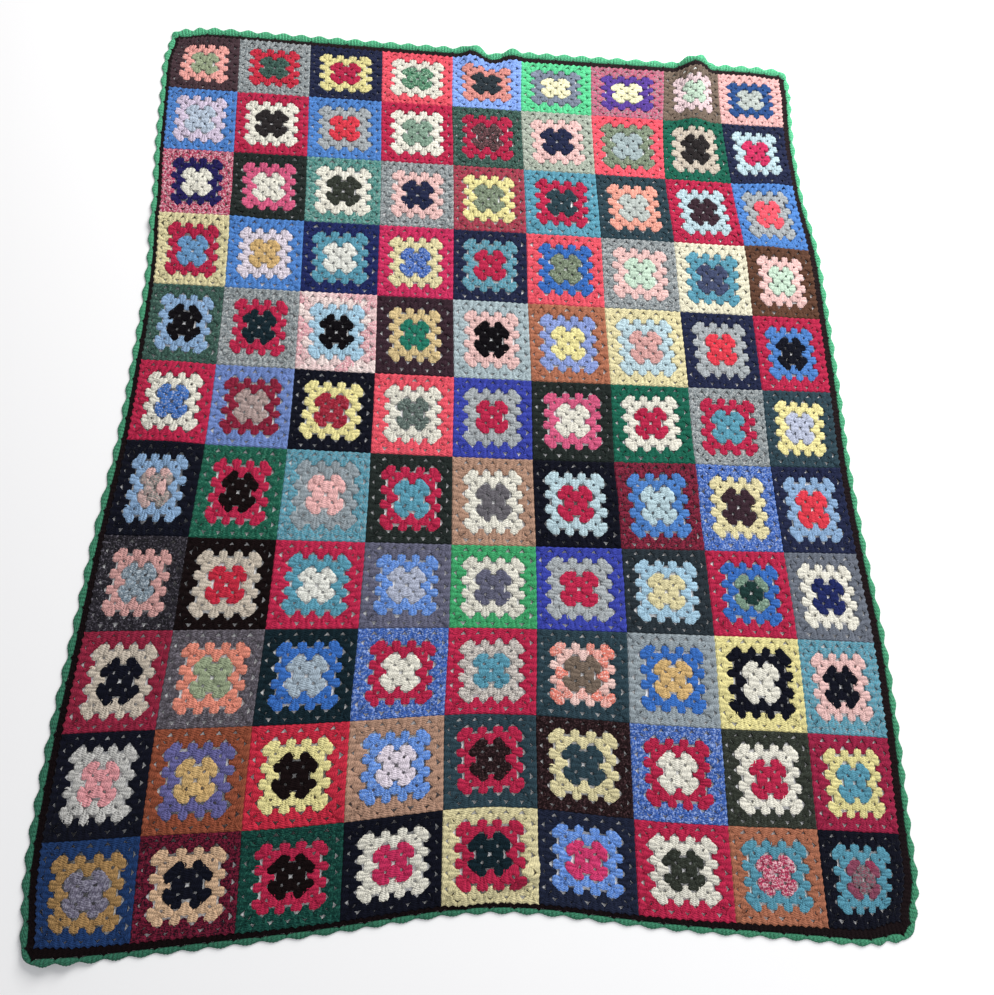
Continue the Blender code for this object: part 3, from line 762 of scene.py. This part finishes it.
def joined_at_foot(grid):
    """Fan, station and ring become one list of points. Those at the foot are one point, in their middle."""
    foot, rest = grid[:, :1].mean(axis=2), grid[:, 1:].reshape(FANS, -1, grid.shape[-1])
    return np.concatenate([foot, rest], axis=1).reshape(-1, grid.shape[-1])


row_pieces = []
for row in range(ROWS):
    column, rows = np.arange(COLUMNS), np.full(COLUMNS, row)
    names = names_of_groups(row * COLUMNS + column)
    x, y, w = fans_of_squares(column, rows, fluff(names))
    px, py = placed(column, rows, x, y)
    points = laid(px, py, np.broadcast_to(w, px.shape))
    points = joined_at_foot(points.reshape(FANS, len(STATIONS), len(RING_ACROSS), 3))
    along = np.stack(np.broadcast_arrays(ACROSS, STATIONS[:, None] * LENGTHS), axis=-1)
    along = joined_at_foot(along)
    along[:, 1] += np.repeat(rng.random(FANS) * TWIST_STARTS, POINTS_A_FAN)
    corners = (corners_of_fan + POINTS_A_FAN * np.arange(FANS)[:, None]).ravel()
    sizes = np.tile(sizes_of_fan, FANS)
    obj = piece(f"squares_row_{row + 1}", points, corners, sizes, along)
    colour, second, share = yarns_of_groups(names)
    paint(obj.data, "yarn", colour, POINTS_A_FAN)
    paint(obj.data, "second", second, POINTS_A_FAN)
    paint(obj.data, "share", share[..., None], POINTS_A_FAN)
    obj.data.materials.append(square_yarn)
    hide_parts("granny_square_field")
    row_pieces.append(obj)
print("rows of squares:", len(row_pieces), "with", sum(len(o.data.polygons) for o in row_pieces), "faces")

# %% [markdown]
# ## The dark band and the shell edging
#
# Both run once round the field. Each is a closed strip: a cross-section is carried along the rim, and its
# height and width change on the way, so two rows of small stitches show on the band, and shells of seven
# ribs on the edging. Single stitches could be modelled, but at this size a shaped strip looks the same and
# has no gaps.

# %% Stations along the rim
# The band's width at the left, in the middle and at the right, for the far end and for the near one.
BORDER_FAR, BORDER_NEAR = (0.0065, 0.0135, 0.0115), (0.012, 0.006, 0.014)
NEAR_BAND = 1.18  # it is this much wider again where it runs along the near edge
SHELLS_A_SQUARE = 4
CORNER_EASE = 0.22  # how much narrower both are at a corner


def rim_stations(each_shell):
    """The rim, anticlockwise from the near left corner: points, the way outwards, and how many shells so far.

    Along a side the way outwards is square to it. At a corner it swings through a quarter turn, with one
    shell to the corner, and the strips are eased narrower there by a half wave of the sine.
    """
    ends = np.array([(-HALF_X, -HALF_Y), (HALF_X, -HALF_Y), (HALF_X, HALF_Y), (-HALF_X, HALF_Y)])
    found, shells = [], 0
    for side in range(4):
        f = np.arange(each_shell) / each_shell
        turn = math.pi * (1 + side / 2 + f / 2)
        here = np.repeat(ends[side][None], each_shell, axis=0)
        ease = 1 - CORNER_EASE * np.sin(math.pi * f)
        found.append(np.column_stack([here, np.cos(turn), np.sin(turn), ease, shells + f]))
        count = SHELLS_A_SQUARE * (ROWS if side % 2 else COLUMNS)
        f = np.arange(count * each_shell) / (count * each_shell)
        here = ends[side] + (ends[(side + 1) % 4] - ends[side]) * f[:, None]
        turn, full = np.full_like(f, math.pi * (1.5 + side / 2)), np.ones_like(f)
        found.append(np.column_stack([here, np.cos(turn), np.sin(turn), full, shells + 1 + f * count]))
        shells += count + 1
    return np.concatenate(found).T


def band_width(x, y, dy):
    """Width of the dark band: between its far and near widths by y, and wider where it faces the near way."""
    up = 0.5 + y / (2 * HALF_Y)
    width = bent(*BORDER_NEAR, x / HALF_X) * (1 - up) + bent(*BORDER_FAR, x / HALF_X) * up
    return width * (1 + (NEAR_BAND - 1) * np.maximum(0.0, -dy))


def strip(name, x, y, dx, dy, out, w, material, node):
    """A closed ring of strip: out and w give its cross-section at each station, as station by point."""
    points = laid(x[:, None] + dx[:, None] * out, y[:, None] + dy[:, None] * out, w)
    stations, ring = out.shape
    a, b = np.arange(ring), (np.arange(ring) + 1) % ring
    s, e = np.arange(stations)[:, None] * ring, (np.arange(stations)[:, None] + 1) % stations * ring
    corners = np.stack([s + a, e + a, e + b, s + b], axis=-1).reshape(-1)
    step = np.linalg.norm(np.diff(points[:, 2], axis=0, append=points[:1, 2]), axis=1)
    run = np.concatenate([[0], np.cumsum(step)[:-1]])
    along = np.stack([np.broadcast_to(run[:, None], out.shape), out], axis=-1).reshape(-1, 2)
    obj = piece(name, points.reshape(-1, 3), corners, np.full(stations * ring, 4), along)
    obj.data.materials.append(material)
    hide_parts(node)
    return obj


# %% The dark band
# Its stitches make a wave along it, the other way up in its second row. Between two shells a long stitch of
# the band, a spike, reaches out into the edging.
STITCHES_A_SHELL, BAND_WIDE = 4.5, 0.0100
SPIKE_LONG, SPIKE_HALF = 0.0030, 0.05  # metres, and the part of a shell

x, y, dx, dy, ease, turns = rim_stations(18)
wave = np.cos(2 * math.pi * STITCHES_A_SHELL * turns)[:, None]
broad = (band_width(x, y, dy) * ease)[:, None]
spike = np.exp(-((((turns + 0.5) % 1 - 0.5) / SPIKE_HALF) ** 2))[:, None] * SPIKE_LONG
# Round the cross-section, from the squares outwards and back below:
across = np.array([-0.10, 0.10, 0.28, 0.50, 0.72, 0.93, 1.02, 0.45])
crown = np.array([0.6, 2.0, 3.4, 2.3, 3.6, 2.6, 0.9, 0.1]) * MM
beat = np.array([0, 0.1, 0.45, 0.1, -0.5, -0.3, 0, 0]) * MM
out = broad * across + spike * np.array([0, 0, 0, 0, 0.4, 1.0, 1.0, 0])
height = crown + beat * wave + spike * np.array([0, 0, 0, 0, 0.2, 0.45, 0.3, 0])
band = strip("dark_band", x, y, dx, dy, out, height, band_yarn, "dark_border")
print("dark band: about", round(float(broad.mean()) * 1000, 1), "mm wide,", len(band.data.polygons), "faces")

# %% The shell edging
RIBS, RIB_REACH, SHELLS_WIDE = 7, 0.10, 0.0110
EDGING, SHELL = 0.0068, 0.0056  # the edging's width in its valleys, and how far a shell stands past them
FAR_SHELLS, NEAR_SHELLS = 1.35, 0.86  # how long the shells are along the far and near edges
POINTED = 0.25  # the share of a plain sine in a shell's outline, which makes the valleys between them sharp
VALLEY_SHIFT, VALLEY_LOW = 0.0010, 0.78

x, y, dx, dy, ease, turns = rim_stations(28)
arch = np.abs(np.sin(math.pi * turns))
shell = arch**2 * (1 - POINTED) + arch * POINTED
rib = np.cos(2 * math.pi * RIBS * turns)
far_side, near_side = np.maximum(0.0, dy), np.maximum(0.0, -dy)
along_sides = 1 + (FAR_SHELLS - 1) * far_side + (NEAR_SHELLS - 1) * near_side
inner = (band_width(x, y, dy) * ease + VALLEY_SHIFT * (1 - shell))[:, None]
reach = ((EDGING + SHELL * shell * (1 - RIB_REACH * rib)) * ease * along_sides)[:, None]
across = np.array([0.0, 0.10, 0.36, 0.66, 0.90, 1.0, 0.5])
crown = np.array([0.5, 2.4, 4.0, 4.0, 2.9, 1.2, 0.1]) * MM
beat = np.array([0, 0.15, 0.5, 0.6, 0.5, 0.2, 0]) * MM
curl = np.array([0, 0.2, 0.9, 2.2, 3.4, 3.8, 1.2]) * MM  # along the far edge the shells curl up
out = inner + reach * across
height = crown * (VALLEY_LOW + (1 - VALLEY_LOW) * shell[:, None])
height = height + beat * (rib * shell)[:, None] + curl * far_side[:, None]
edging = strip("green_shells", x, y, dx, dy, out, height, edging_yarn, "shell_edging")
print("shells:", int(round(turns.max())), "faces", len(edging.data.polygons))

# %% [markdown]
# ## The floor and the light
#
# A plain pale floor and soft light: one wide lamp high above the far right corner, a weaker one above the
# near right corner, and a pale sky. The far right is a little brighter, and the shadows between the stitches
# stay soft.

# %% Floor
FLOOR_HALF = 4.0
floor_corners = [(x * FLOOR_HALF, y * FLOOR_HALF, 0) for x, y in ((-1, -1), (1, -1), (1, 1), (-1, 1))]
floor_mesh = bpy.data.meshes.new("floor")
floor_mesh.from_pydata(floor_corners, [], [(0, 1, 2, 3)])
floor = bpy.data.objects.new("floor", floor_mesh)
bpy.context.scene.collection.objects.link(floor)
floor_paint = bpy.data.materials.new("pale_floor")
floor_paint.use_nodes = True
floor_shader = floor_paint.node_tree.nodes["Principled BSDF"]
floor_shader.inputs["Base Color"].default_value = (0.90, 0.90, 0.91, 1)
floor_shader.inputs["Roughness"].default_value = 0.9
floor_mesh.materials.append(floor_paint)


# %% Lamps and sky
def lamp(name, at, towards, size, power, colour):
    """A square area lamp, aimed with a quaternion that turns its -Z towards the target."""
    light = bpy.data.lights.new(name, "AREA")
    light.size, light.energy, light.color = size, power, colour
    obj = bpy.data.objects.new(name, light)
    bpy.context.scene.collection.objects.link(obj)
    obj.location = at
    obj.rotation_euler = (Vector(towards) - Vector(at)).to_track_quat("-Z", "Y").to_euler()
    return obj


lamp("window", (1.4, 2.1, 2.0), (0.2, 0.3, 0.0), 1.8, 132.0, (1.0, 0.985, 0.96))
lamp("bounce", (1.6, -2.0, 2.2), (0.2, -0.4, 0.0), 2.0, 24.0, (0.97, 0.98, 1.0))
world = bpy.data.worlds.new("pale_sky")
bpy.context.scene.world = world
world.use_nodes = True
sky = world.node_tree.nodes["Background"]
sky.inputs["Color"].default_value = (0.97, 0.98, 1.0, 1.0)
sky.inputs["Strength"].default_value = 0.42
bpy.context.scene.view_settings.view_transform = "Standard"
